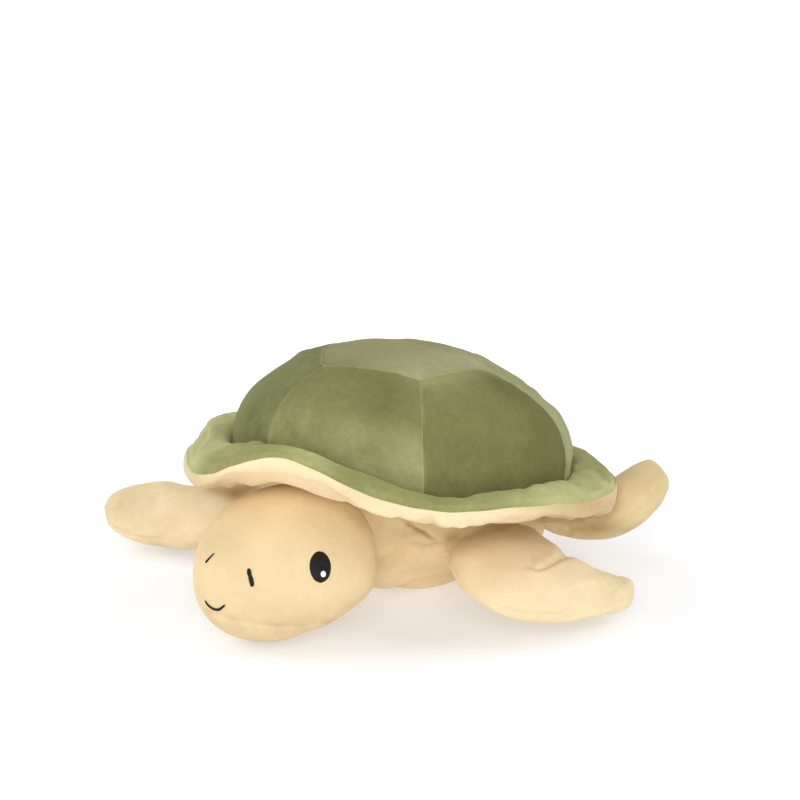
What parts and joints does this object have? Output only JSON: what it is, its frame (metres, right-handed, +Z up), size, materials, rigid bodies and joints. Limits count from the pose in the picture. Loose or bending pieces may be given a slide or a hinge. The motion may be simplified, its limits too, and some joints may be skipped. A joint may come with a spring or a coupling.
{
  "type": "plush sea turtle",
  "caption": "Stuffed plush sea turtle with a domed panelled shell, padded wavy brim, drooping head and four soft flippers.",
  "frame": {"origin": "middle of the footprint's bounding box, on the floor", "axes": "+Z up, the turtle faces -Y, its left side is +X"},
  "size_m": [0.3515, 0.3204, 0.1534],
  "materials": {
    "shell_velour": "short-pile velour",
    "brim_velour": "short-pile velour",
    "cream_velour": "short-pile velour",
    "dark_embroidery": "satin stitch",
    "white_embroidery": "satin stitch",
    "fibre_fill": "polyester fibre",
    "sewing_thread": "matt"
  },
  "bodies": {
    "torso": {"shell_side_front_left": "shell_velour", "shell_side_mid_left": "shell_velour", "shell_side_rear_left": "shell_velour", "shell_side_rear_right": "shell_velour", "shell_side_mid_right": "shell_velour", "shell_side_front_right": "shell_velour", "shell_top_panel": "shell_velour", "shell_stuffing": "fibre_fill", "brim_upper_skin": "brim_velour", "shell_underside": "cream_velour", "brim_wadding": "fibre_fill", "body_cover": "cream_velour", "belly_panel": "cream_velour", "body_stuffing": "fibre_fill", "closing_stitches": "sewing_thread"},
    "neck": {"neck_cover": "cream_velour", "neck_stuffing": "fibre_fill"},
    "head": {"head_cover": "cream_velour", "chin_panel": "cream_velour", "head_stuffing": "fibre_fill", "eye_left": "dark_embroidery", "eye_right": "dark_embroidery", "eye_highlight_left": "white_embroidery", "eye_highlight_right": "white_embroidery", "nostril_left": "dark_embroidery", "nostril_right": "dark_embroidery", "mouth_stitch": "dark_embroidery"},
    "front_flipper_left": {"front_flipper_left_top_panel": "cream_velour", "front_flipper_left_bottom_panel": "cream_velour", "front_flipper_left_stuffing": "fibre_fill"},
    "front_flipper_right": {"front_flipper_right_top_panel": "cream_velour", "front_flipper_right_bottom_panel": "cream_velour", "front_flipper_right_stuffing": "fibre_fill"},
    "rear_flipper_left": {"rear_flipper_left_top_panel": "cream_velour", "rear_flipper_left_bottom_panel": "cream_velour", "rear_flipper_left_stuffing": "fibre_fill"},
    "rear_flipper_right": {"rear_flipper_right_top_panel": "cream_velour", "rear_flipper_right_bottom_panel": "cream_velour", "rear_flipper_right_stuffing": "fibre_fill"}
  },
  "joints": [
    {"name": "neck_turn", "type": "hinge", "parent": "torso", "child": "neck", "pos_m": [0.0308, -0.0496, 0.057], "axis": [0, 0, 1], "range_deg": [-18, 18], "stiffness_Nm_per_rad": 0.15, "deforming": ["neck_cover", "neck_stuffing"]},
    {"name": "head_nod", "type": "hinge", "parent": "neck", "child": "head", "pos_m": [0.0308, -0.0496, 0.057], "axis": [1, 0, 0], "range_deg": [0, 13], "stiffness_Nm_per_rad": 0.15},
    {"name": "front_left_lift", "type": "hinge", "parent": "torso", "child": "front_flipper_left", "pos_m": [0.0903, 0.0109, 0.043], "axis": [-0.0948, -0.9955, 0], "range_deg": [-20, 15], "stiffness_Nm_per_rad": 0.12},
    {"name": "front_right_lift", "type": "hinge", "parent": "torso", "child": "front_flipper_right", "pos_m": [-0.0342, 0.0044, 0.043], "axis": [-0.1597, 0.9872, 0], "range_deg": [-18, 15], "stiffness_Nm_per_rad": 0.12},
    {"name": "rear_left_lift", "type": "hinge", "parent": "torso", "child": "rear_flipper_left", "pos_m": [0.05705, 0.0934, 0.033], "axis": [0.9184, -0.3957, 0], "range_deg": [-20, 0], "stiffness_Nm_per_rad": 0.12},
    {"name": "rear_right_lift", "type": "hinge", "parent": "torso", "child": "rear_flipper_right", "pos_m": [-0.00345, 0.0934, 0.033], "axis": [0.9184, 0.3957, 0], "range_deg": [-20, 4], "stiffness_Nm_per_rad": 0.12}
  ]
}
